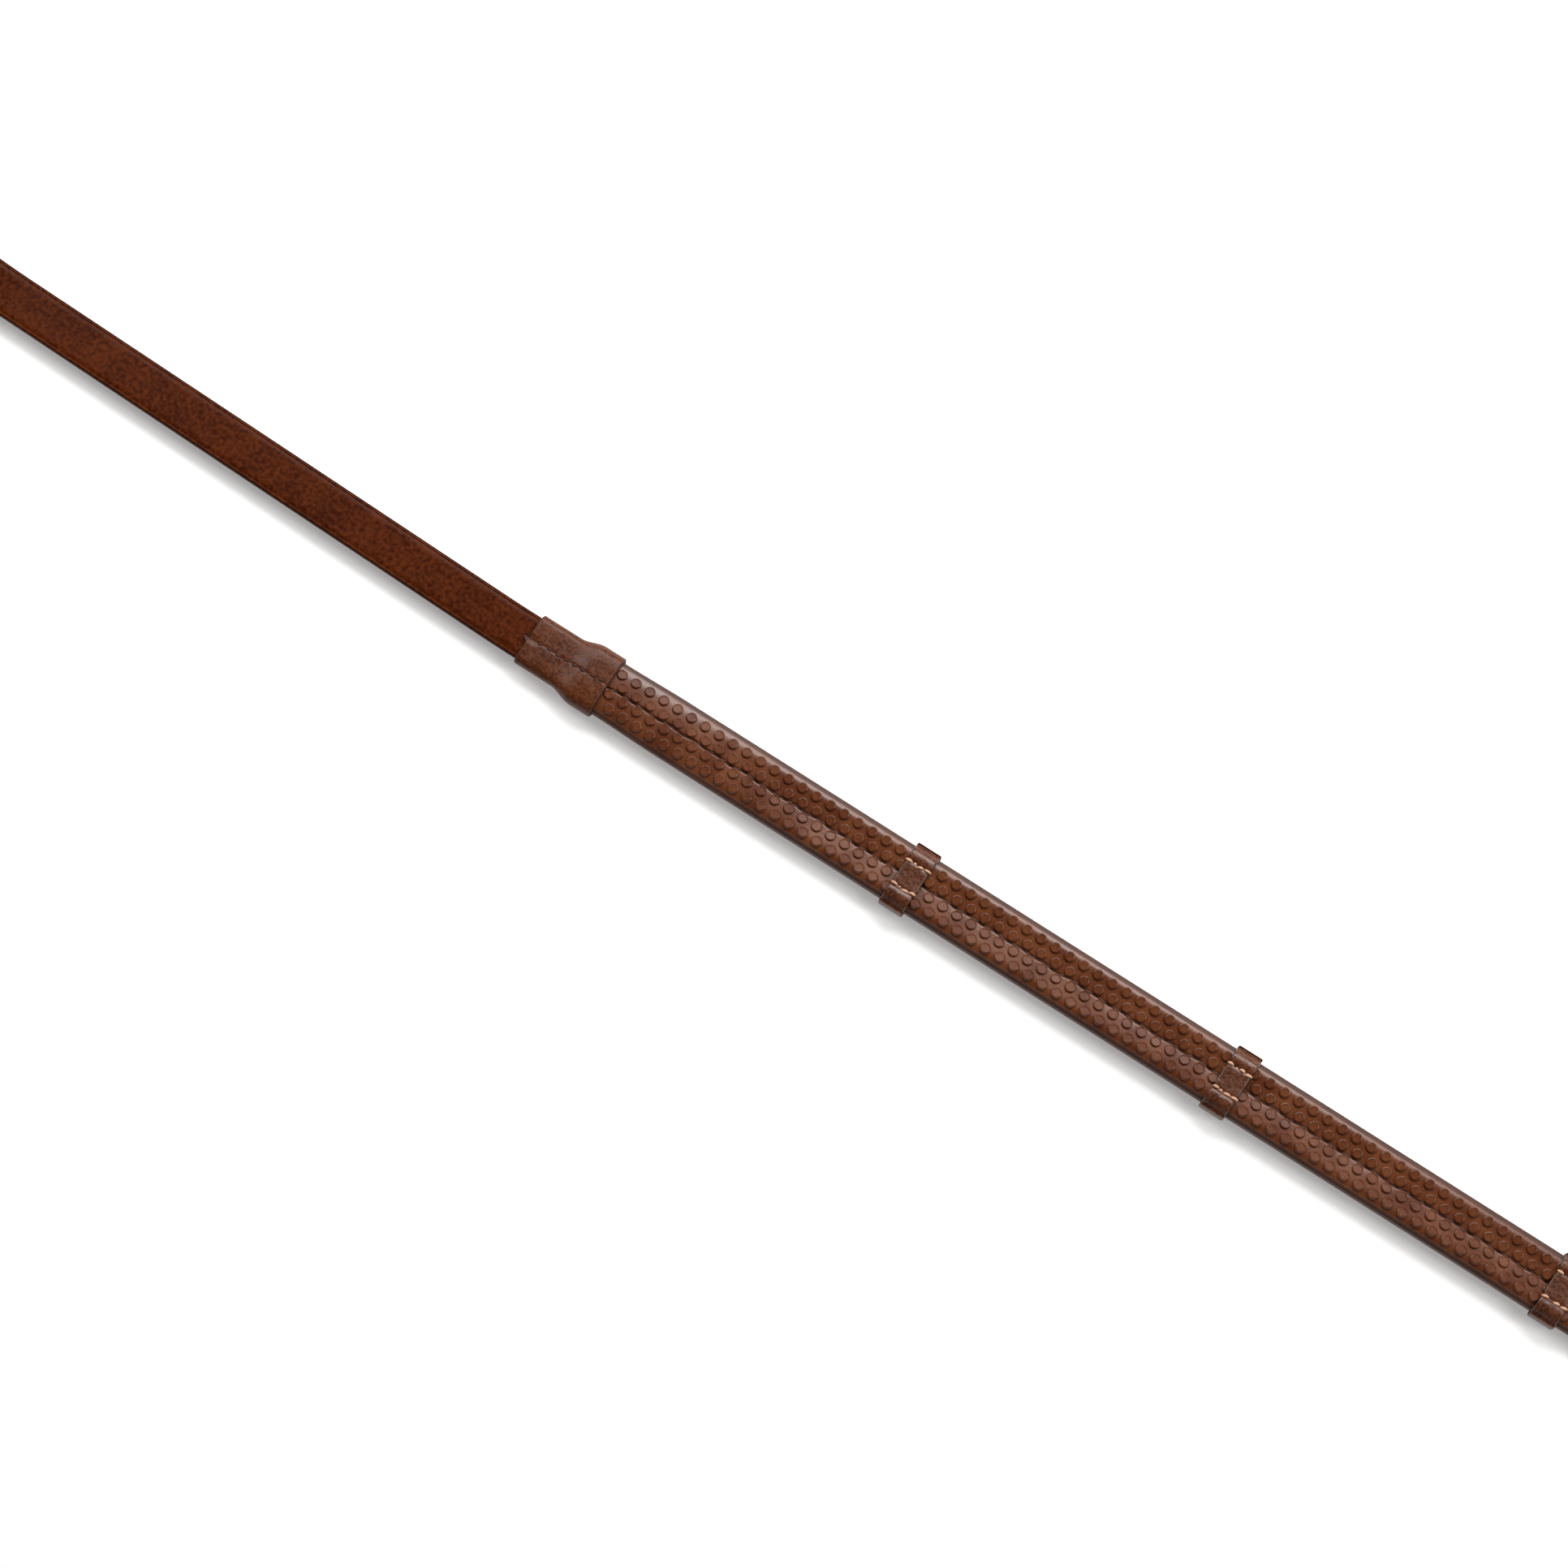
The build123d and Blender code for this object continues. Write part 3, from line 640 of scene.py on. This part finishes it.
# One pimple is moulded with a soft rim and a faint ring on top, and copied along its row. The rows of
# the front and of the back are a piece each.
first_pimple = stops_along[0] + 8.4 * mm - 23 * pimple_pitch  # 23 of a row lie before the first stop
pimples_in_row = int((rear_sleeve_along - 1.0 * mm - first_pimple) / pimple_pitch)
pimple_side = 0.9 * mm
pimple_level = rubber_face + pimple_height - pimple_side / 2
for face, face_name in ((1, "front"), (-1, "back")):
    rows = []
    for across, shift in pimple_rows:
        bpy.ops.object.select_all(action="DESELECT")
        start = (first_pimple + shift * pimple_pitch, across, face * pimple_level)
        bpy.ops.mesh.primitive_cylinder_add(
            vertices=14, radius=pimple_radius, depth=pimple_side, location=start
        )
        pimple = bpy.context.object
        if face < 0:
            pimple.rotation_euler = (pi, 0, 0)
        bpy.ops.object.mode_set(mode="EDIT")
        bpy.ops.mesh.select_mode(type="FACE")
        bpy.ops.mesh.select_all(action="DESELECT")
        bpy.ops.object.mode_set(mode="OBJECT")
        for side in pimple.data.polygons:
            side.select = side.normal.z > 0.9
        bpy.ops.object.mode_set(mode="EDIT")
        bpy.ops.mesh.bevel(offset=0.13 * mm, segments=1, affect="EDGES")
        bpy.ops.mesh.inset(thickness=0.42 * mm, depth=0.0)
        bpy.ops.mesh.inset(thickness=0.2 * mm, depth=-0.1 * mm)
        bpy.ops.mesh.inset(thickness=0.35 * mm, depth=0.07 * mm)
        bpy.ops.object.mode_set(mode="OBJECT")
        bpy.ops.object.transform_apply(location=True, rotation=True, scale=True)
        copy_along(pimple, pimples_in_row, pimple_pitch)
        rows.append(pimple)
    pimples = join_pieces(rows, f"rubber_pimples_{face_name}")
    bpy.ops.object.shade_smooth_by_angle(angle=radians(40))
    keep_bench_places(pimples)
    reshape(pimples, wrap_rubber)
    reshape(pimples, lie)
    pimples.data.materials.append(grip_rubber)
    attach(pimples, "rein")

# ==================================================================================================
# Seam of the grip. Dark waxed thread, sewn in a groove down the middle of the rubber, front and back,
# in stitches of 4.8 mm that pull the rubber in at each hole.
# ==================================================================================================


def waxed_thread(name, colour, dark, roughness):
    """Waxed thread of three twisted strands: a fine slanting rib, with painted shade between the strands."""
    finish, tree, shader = new_finish(name)
    bench = add_node(tree, "ShaderNodeAttribute", attribute_name="bench").outputs["Vector"]
    turned = add_node(tree, "ShaderNodeMapping", {"Vector": bench, "Rotation": (0, 0, radians(38))})
    strands = add_node(tree, "ShaderNodeTexWave", {"Vector": turned.outputs[0], "Scale": 0.75})
    strands.inputs["Distortion"].default_value = 0.6
    fray = add_node(tree, "ShaderNodeTexNoise", {"Vector": bench, "Scale": 2.2, "Detail": 3.0})
    twisted = {0: strands.outputs["Fac"], 1: 0.5, 2: fray.outputs["Fac"]}
    mixed = add_node(tree, "ShaderNodeMath", twisted, operation="MULTIPLY_ADD")
    spread = add_node(
        tree, "ShaderNodeMapRange", {"Value": mixed.outputs[0], "From Min": 0.3, "From Max": 0.85}
    )
    # Painted shade: the dark colour falls between the twisted strands.
    thread = add_node(tree, "ShaderNodeMix", {0: spread.outputs[0]}, data_type="RGBA")
    thread.inputs[6].default_value = linear(dark)
    thread.inputs[7].default_value = linear(colour)
    tree.links.new(thread.outputs[2], shader.inputs["Base Color"])
    shader.inputs["Roughness"].default_value = roughness
    bump = add_node(tree, "ShaderNodeBump", {"Height": mixed.outputs[0], "Strength": 0.6})
    bump.inputs["Distance"].default_value = 0.12 * mm
    tree.links.new(bump.outputs["Normal"], shader.inputs["Normal"])
    return finish


def stitch(along, across, out, length, width, thickness, turn=0.0):
    """One stitch: a short length of thread whose two ends go down into their holes."""
    middle = Vector((along, across, out))
    bpy.ops.object.select_all(action="DESELECT")
    bpy.ops.mesh.primitive_uv_sphere_add(segments=8, ring_count=6, radius=0.5, location=middle)
    thread = bpy.context.object
    thread.scale = (width, thickness, length)
    thread.rotation_euler = Matrix.Rotation(turn, 3, "Z").to_euler()
    thread.rotation_euler.rotate_axis("Y", pi / 2)
    thread.rotation_euler.rotate_axis("Z", pi / 2)
    bpy.ops.object.transform_apply(location=True, rotation=True, scale=True)
    bpy.ops.object.shade_smooth()
    for point in thread.data.vertices:
        from_middle = (point.co - middle).length / length * 2
        point.co.z += (1 if out > 0 else -1) * thickness * (0.3 - 0.8 * from_middle**2)
    return thread


# The second colour is painted shade between the strands.
seam_thread = waxed_thread("dark_waxed_thread", "#4a2418", "#1c0b07", 0.5)
seam_level = 2.5 * mm
seam_stitch = 3.9 * mm
seam_count = int((grip_end - grip_start) / seam_pitch)
first_stitch = (int(grip_start / seam_pitch) + 1.0) * seam_pitch
seam_rows = []
for face in (1, -1):
    row = stitch(first_stitch, 0.0, face * seam_level, seam_stitch, 0.75 * mm, 0.5 * mm)
    copy_along(row, seam_count, seam_pitch)
    seam_rows.append(row)
seam = join_pieces(seam_rows, "grip_seam_stitches")
keep_bench_places(seam)
reshape(seam, wrap_rubber)
reshape(seam, lie)
seam.data.materials.append(seam_thread)
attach(seam, "rein")
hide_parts("grip_seam_thread")

# ==================================================================================================
# Sleeves. Each is a piece of thin calf, wrapped wet round the end of the grip and the strap that runs
# into it and sewn by hand down the front. The seam puckers the calf and leaves a point on the strap.
# ==================================================================================================
sleeve_strap_half = Vector((9.35 * mm, 2.75 * mm, 0))
sleeve_grip_half = Vector((11.35 * mm, 4.35 * mm, 0))
sleeve_corner = 2.5 * mm
sleeve_wall = 1.15 * mm
shoulder_start = 14.5 * mm  # from the mouth on the strap
shoulder_end = 23.0 * mm
sleeve_point = 3.0 * mm  # how far the seam allowance reaches past the mouth on the strap
sleeve_pucker = 0.34 * mm
sleeve_lip = 0.62 * mm
sleeve_lip_depth = 0.34 * mm
sleeve_fold_over = 0.08 * mm
sleeve_swell = 0.16 * mm
rim_round = 0.55 * mm


def evenly(first, last, spacing):
    """Values from first towards last, last left out, about this far apart."""
    count = max(int(abs(last - first) / spacing), 1)
    return [first + (last - first) * i / count for i in range(count)]


def band_outline(half_wide, half_thick, radius, spacing):
    """A closed outline with round corners, its points close enough together to take creases."""
    steps = max(int(radius * pi / 2 / spacing), 4)
    side = [(half_wide, z) for z in evenly(0.0, half_thick - radius, spacing)]
    face = [(y, half_thick) for y in evenly(half_wide - radius, 0.0, spacing)[1:]]
    return whole_outline(side + corner(half_wide, half_thick, radius, steps) + face + [(0.0, half_thick)])


def rim_inset(from_rim, radius):
    """How far a rounded rim has pulled in at this distance from its end."""
    if from_rim >= radius:
        return 0.0
    return radius - sqrt(radius**2 - (radius - max(from_rim, 0.0)) ** 2)


def hollow(piece, wall):
    """Give an open tube its wall, inwards, and mend its shading."""
    bpy.context.view_layer.objects.active = piece
    inner = piece.modifiers.new("wall", "SOLIDIFY")
    inner.thickness = wall
    inner.offset = -1.0
    bpy.ops.object.modifier_apply(modifier="wall")
    bpy.ops.object.shade_smooth_by_angle(angle=radians(55))


def sleeve_seam(s, seed):
    """How far off the middle the sleeve's seam runs."""
    return 0.5 * mm * noise.noise(Vector((s / (5 * mm), seed, 8)))


def form_sleeve(s, across, out, seed):
    """Shape the plain tube over the strap, the shoulder and the grip, with its seam and puckers."""
    share = ease(s, shoulder_start, shoulder_end)
    half = sleeve_strap_half.lerp(sleeve_grip_half, share)
    wide = across / sleeve_strap_half.x
    thick = out / sleeve_strap_half.y
    thick *= 1 - (0.16 + 0.14 * share) * min(abs(wide), 1.0) ** 3
    inset = rim_inset(min(s, sleeve_length - s), rim_round)
    y = wide * (half.x - inset)
    z = thick * (half.y - inset)
    folds = noise.noise(Vector(((s + 0.3 * y) / (1.2 * mm), y / (5 * mm), seed)))
    slow = noise.noise(Vector((s / (6 * mm), y / (4 * mm), seed + 5)))
    if out > 0:
        off = y - sleeve_seam(s, seed)
        near = max(1 - abs(off + 1.4 * mm) / (4.2 * mm), 0.0) * ease(s, 1 * mm, 9 * mm)
        lip = max(1 - abs(off) / sleeve_lip, 0.0)
        fold_over = sleeve_fold_over * ease(off, -0.35 * mm, 0.15 * mm) * max(1 - off / (3 * mm), 0.0)
        z += sleeve_pucker * folds * near * min(abs(off) / (0.8 * mm), 1.0) + sleeve_swell * slow
        z += fold_over - sleeve_lip_depth * lip**1.5
        point = max(1 - abs(off) / (1.7 * mm), 0.0) * max(1 - s / (5 * mm), 0.0)
        s -= sleeve_point * point
        z -= 0.95 * mm * point**0.7
    else:
        z += 0.14 * mm * slow
    return s, y, z


calf = leather(
    "waxed_calf",
    "#47200e",
    "#673518",
    # Painted shade at the cut edges:
    "#45200e",
    axis="X",
    half=sleeve_length / 2 / mm,
    grain=0.6,
    patch=12.0,
    roughness=0.38,
    relief=0.4,
    specular=0.3,
)
sleeve_stitch_count = 9
sleeve_stitch_pitch = 3.4 * mm


def make_sleeve(name, thread_name, seed, place):
    """One sleeve and its seam stitches; place puts a point of the sleeve at its end of the grip."""
    outline = band_outline(sleeve_strap_half.x, sleeve_strap_half.y, sleeve_corner, 0.36 * mm)
    sleeve = long_piece(f"{name}_calf", outline, 0.0, sleeve_length, (9, 9), ends="NOTHING")
    reshape(sleeve, lambda s, y, z: Vector(form_sleeve(s, y, z, seed)))
    hollow(sleeve, sleeve_wall)
    keep_bench_places(sleeve, sleeve_length / 2)
    reshape(sleeve, place)
    sleeve.data.materials.append(calf)
    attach(sleeve, "rein")
    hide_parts(name)

    stitches = []
    draw = random.Random(seed)
    for i in range(sleeve_stitch_count):
        s = 1.2 * mm + i * sleeve_stitch_pitch + draw.uniform(-0.3, 0.3) * mm
        y = sleeve_seam(s, seed) + draw.uniform(-0.12, 0.12) * mm
        level = form_sleeve(s, y, sleeve_strap_half.y, seed)[2] + 0.24 * mm
        long = draw.uniform(2.0, 2.7) * mm
        stitches.append(stitch(s, y, level, long, 0.7 * mm, 0.5 * mm, radians(draw.uniform(-14, 14))))
    seam = join_pieces(stitches, f"{name}_seam")
    keep_bench_places(seam)
    reshape(seam, place)
    seam.data.materials.append(seam_thread)
    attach(seam, "rein")
    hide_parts(thread_name)


def at_bit_side(s, y, z):
    return lie(sleeve_along + s, y, z)


def at_buckle_side(s, y, z):
    return lie(rear_sleeve_along + sleeve_length - s, -y, z)


make_sleeve("bit_side_sleeve", "bit_side_sleeve_thread", 3, at_bit_side)
make_sleeve("buckle_side_sleeve", "buckle_side_sleeve_thread", 11, at_buckle_side)

# ==================================================================================================
# Hand stops. Five bands of thick leather round the grip, each drawn tight by two rows of natural linen
# thread through its front, so that a flat panel is left between two round, polished ends.
# ==================================================================================================
stop_corner = 4.1 * mm
stop_wall = 1.15 * mm
stop_row = 4.5 * mm  # a row of stitches, off the middle
stop_panel_depth = 0.62 * mm
stop_groove_depth = 0.42 * mm
stop_groove_half = 0.75 * mm
stop_pinch = 0.3 * mm  # how far a row draws each rim in
# The second colour is painted shade between the strands.
linen_thread = waxed_thread("natural_linen_thread", "#ecbd9c", "#a0664a", 0.6)
stop_leather = leather(
    "polished_stop_leather",
    "#43200f",
    "#6b391d",
    # Painted shade at the cut edges:
    "#4a2412",
    axis="X",
    half=stop_length / 2 / mm,
    grain=0.5,
    patch=9.0,
    roughness=0.33,
    relief=0.3,
    specular=0.6,
)


def form_stop(s, across, out, seed):
    """Sink the panel between the rows of stitches, press a groove under each row and round the rims."""
    inset = rim_inset(stop_length / 2 - abs(s), 0.5 * mm)
    off = abs(across)
    z = abs(out)
    if off < stop_width / 2 - 0.6 * mm:
        lobe = ease(off, stop_row - 0.2 * mm, stop_row + 2.4 * mm)
        panel = stop_panel_depth - 0.12 * mm * (off / stop_row) ** 2
        groove = stop_groove_depth * max(1 - abs(off - stop_row) / stop_groove_half, 0.0)
        rounded = 1.0 * mm * (max(off - 6.2 * mm, 0.0) / (3.6 * mm)) ** 2
        drop = panel * (1 - lobe) + groove + rounded
        drop -= 0.1 * mm * noise.noise(Vector((s / (2.2 * mm), across / (1.6 * mm), seed)))
        z -= drop * min(z / (4 * mm), 1.0) ** 3
    pinch = stop_pinch * max(1 - abs(off - stop_row) / (1.6 * mm), 0.0)
    s *= 1 - pinch / (stop_length / 2)
    scale = 1 - inset / (stop_width / 2)
    side = 1 if out > 0 else -1
    return s, across * scale, side * (z - inset if z > 1 * mm else z)


for number, along in enumerate(stops_along, start=1):
    draw = random.Random(40 + number)
    skew = radians(draw.uniform(1.0, 2.6))

    def at_stop(s, y, z):
        return lie(along + s + y * tan(skew), y, z)

    outline = band_outline(stop_width / 2, stop_thickness / 2, stop_corner, 0.38 * mm)
    band = long_piece(
        f"stop_band_{number}", outline, -stop_length / 2, stop_length / 2, (5, 4), ends="NOTHING"
    )
    reshape(band, lambda s, y, z: Vector(form_stop(s, y, z, number)))
    hollow(band, stop_wall)
    keep_bench_places(band)
    reshape(band, at_stop)
    band.data.materials.append(stop_leather)
    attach(band, "rein")
    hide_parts(f"hand_stop_{number}")

    stitches = []
    for row, face in ((stop_row, 1), (-stop_row, 1), (stop_row, -1), (-stop_row, -1)):
        for place, long in ((-3.3, 2.6), (-1.2, 1.1), (0.9, 2.5), (3.5, 2.7)):
            s = (place + draw.uniform(-0.2, 0.2)) * mm
            slant = radians(draw.uniform(-4, 15))
            length = (long + draw.uniform(-0.3, 0.3)) * mm
            sunk = 0.5 * mm if face > 0 else 0.8 * mm  # deeper at the back, which lies on the table
            level = stop_thickness / 2 - sunk - (0.12 * mm if long < 2 else 0.0)
            y = row + draw.uniform(-0.28, 0.28) * mm
            thick = draw.uniform(0.95, 1.2) * mm
            stitches.append(stitch(s, y, face * level, length, thick, 0.85 * thick, slant))
    rows_of_thread = join_pieces(stitches, f"stop_linen_{number}")
    keep_bench_places(rows_of_thread)
    reshape(rows_of_thread, at_stop)
    rows_of_thread.data.materials.append(linen_thread)
    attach(rows_of_thread, "rein")
    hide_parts(f"hand_stop_stitches_{number}")

# ==================================================================================================
# Keepers. Short loops of strap leather with creased rims: by each turned-back end, one is sewn in and
# one slides. Those at the buckle are taller, with room for the other rein's end.
# ==================================================================================================
keeper_length = 10.0 * mm
keeper_leather = 1.3 * mm
keeper_side_gap = 0.3 * mm
bit_legs_half = bit_leg_level + half_thickness
chape_half = buckle_leg_level + half_thickness
billet_room = 3.2 * mm
keeper_crease_in = 1.3 * mm
keeper_crease_depth = 0.14 * mm
keeper_finish = leather(
    "creased_keeper_leather",
    "#3d1a09",
    "#602d12",
    # Painted shade at the cut edges:
    "#341607",
    axis="X",
    half=keeper_length / 2 / mm,
    grain=0.6,
    patch=12.0,
    roughness=0.36,
    relief=0.4,
    specular=0.15,
)


def form_keeper(s, across, out):
    """Round the rims of a keeper and press a crease a little way in from each."""
    from_rim = keeper_length / 2 - abs(s)
    pressed = keeper_crease_depth * max(1 - abs(from_rim - keeper_crease_in) / (0.3 * mm), 0.0)
    inset = rim_inset(from_rim, 0.45 * mm) + pressed
    wide = abs(across)
    high = abs(out)
    side = 1 if across > 0 else -1
    face = 1 if out > 0 else -1
    swell = 0.08 * mm * noise.noise(Vector((s / (3 * mm), across / (4 * mm), out / (4 * mm))))
    return s, side * max(wide - inset, 0.0), face * max(high - inset + swell, 0.0)


def make_keeper(name, body, behind, in_front, place):
    """One keeper, with this much room inside it on each face of the strap."""
    half_wide = half_width + keeper_side_gap + keeper_leather
    half_high = (behind + in_front) / 2 + keeper_leather
    outline = band_outline(half_wide, half_high, 1.7 * mm, 0.4 * mm)
    keeper = long_piece(
        f"{name}_loop", outline, -keeper_length / 2, keeper_length / 2, (5, 4), ends="NOTHING"
    )
    reshape(keeper, lambda s, y, z: Vector(form_keeper(s, y, z)))
    hollow(keeper, keeper_leather - 0.05 * mm)
    keep_bench_places(keeper)
    reshape(keeper, lambda s, y, z: place(s + keeper_length / 2, y, z + (in_front - behind) / 2))
    keeper.data.materials.append(keeper_finish)
    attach(keeper, body)
    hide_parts(name)


def on_bit_end(along):
    """A rule that lays things over the two legs at the bit end, measured from this far behind the loop."""
    return lambda s, y, z: lie(along + s, y, z - strap_level)


def on_chape(back):
    """A rule that lays things over the two legs at the buckle, measured from this far behind its bar.

    The strap runs straight on as the front leg, so the middle of the two legs lies behind its own middle.
    """
    return lambda s, y, z: lie(bar_along - back + s, y, z - buckle_leg_level)


sewn = bit_legs_half + 0.1 * mm
sliding = bit_legs_half + 0.3 * mm
make_keeper("bit_fixed_keeper", "rein", sewn, sewn, on_bit_end(28 * mm))
make_keeper("bit_runner_keeper", "bit_runner", sliding, sliding, on_bit_end(82 * mm))
sewn = chape_half + 0.1 * mm
sliding = chape_half + 0.6 * mm
taller = chape_half + billet_room
make_keeper("buckle_fixed_keeper", "rein", sewn, taller, on_chape(24 * mm))
make_keeper("buckle_runner_keeper", "buckle_runner", sliding, taller, on_chape(56 * mm))

# ==================================================================================================
# Stitches of the two turned-back ends. Dark waxed linen, hand-sewn: two short rows across the bit end,
# one each side of its keeper, and two long rows down the buckle end, seen on both faces.
# ==================================================================================================
end_stitch = 3.0 * mm
end_pitch = 4.0 * mm
# The second colour is painted shade between the strands.
end_thread = waxed_thread("brown_linen_thread", "#8a5636", "#3a1c10", 0.55)
end_level = bit_legs_half + 0.16 * mm
draw = random.Random(7)


def finish_stitches(stitches, name, place):
    """Join stitches to one piece, lay them in place and name what they stand for."""
    rows = join_pieces(stitches, f"{name}_linen")
    keep_bench_places(rows)
    reshape(rows, place)
    rows.data.materials.append(end_thread)
    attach(rows, "rein")
    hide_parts(name)


stitches = []
for row in (25.4 * mm, 40.6 * mm):
    for i in range(4):
        across = (i - 1.5) * end_pitch
        slant = pi / 2 + radians(draw.uniform(3, 12))
        stitches.append(stitch(row, across, end_level, end_stitch, 0.8 * mm, 0.5 * mm, slant))
finish_stitches(stitches, "bit_end_stitches", on_bit_end(0.0))

chape_row = half_width - 2.6 * mm
chape_level = chape_half + 0.16 * mm
stitches = []
for face in (1, -1):
    for row in (chape_row, -chape_row):
        for i in range(8):
            along = -i * end_pitch
            slant = radians(draw.uniform(3, 12))
            stitches.append(stitch(along, row, face * chape_level, end_stitch, 0.8 * mm, 0.36 * mm, slant))
finish_stitches(stitches, "chape_stitches", on_chape(28.0 * mm))

# ==================================================================================================
# Hook stud and buckle. Stainless steel, turned and bent from wire, then polished: clean reflections
# with faint polishing lines.
# ==================================================================================================
steel, tree, shader = new_finish("polished_stainless_steel")
places = add_node(tree, "ShaderNodeTexCoord").outputs["Object"]
in_lines = add_node(tree, "ShaderNodeMapping", {"Vector": places, "Scale": (900.0, 900.0, 4000.0)})
lines = add_node(tree, "ShaderNodeTexNoise", {"Vector": in_lines.outputs[0], "Scale": 1.0, "Detail": 3.0})
smears = add_node(tree, "ShaderNodeTexNoise", {"Vector": places, "Scale": 240.0, "Detail": 3.0})
shine = add_node(
    tree, "ShaderNodeMapRange", {"Value": smears.outputs["Fac"], "From Min": 0.3, "From Max": 0.7}
)
shine.inputs["To Min"].default_value = 0.14
shine.inputs["To Max"].default_value = 0.28
tree.links.new(shine.outputs[0], shader.inputs["Roughness"])
tint = add_node(tree, "ShaderNodeMix", {0: smears.outputs["Fac"]}, data_type="RGBA")
tint.inputs[6].default_value = linear("#c9cac8")
tint.inputs[7].default_value = linear("#e0e1e0")
tree.links.new(tint.outputs[2], shader.inputs["Base Color"])
shader.inputs["Metallic"].default_value = 1.0
bump = add_node(tree, "ShaderNodeBump", {"Height": lines.outputs["Fac"], "Strength": 0.12})
bump.inputs["Distance"].default_value = 0.02 * mm
tree.links.new(bump.outputs["Normal"], shader.inputs["Normal"])
for name in ("hook_stud", "hook_stud_washer", "buckle_frame", "buckle_tongue"):
    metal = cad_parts[name]
    metal.data.materials.clear()
    metal.data.materials.append(steel)
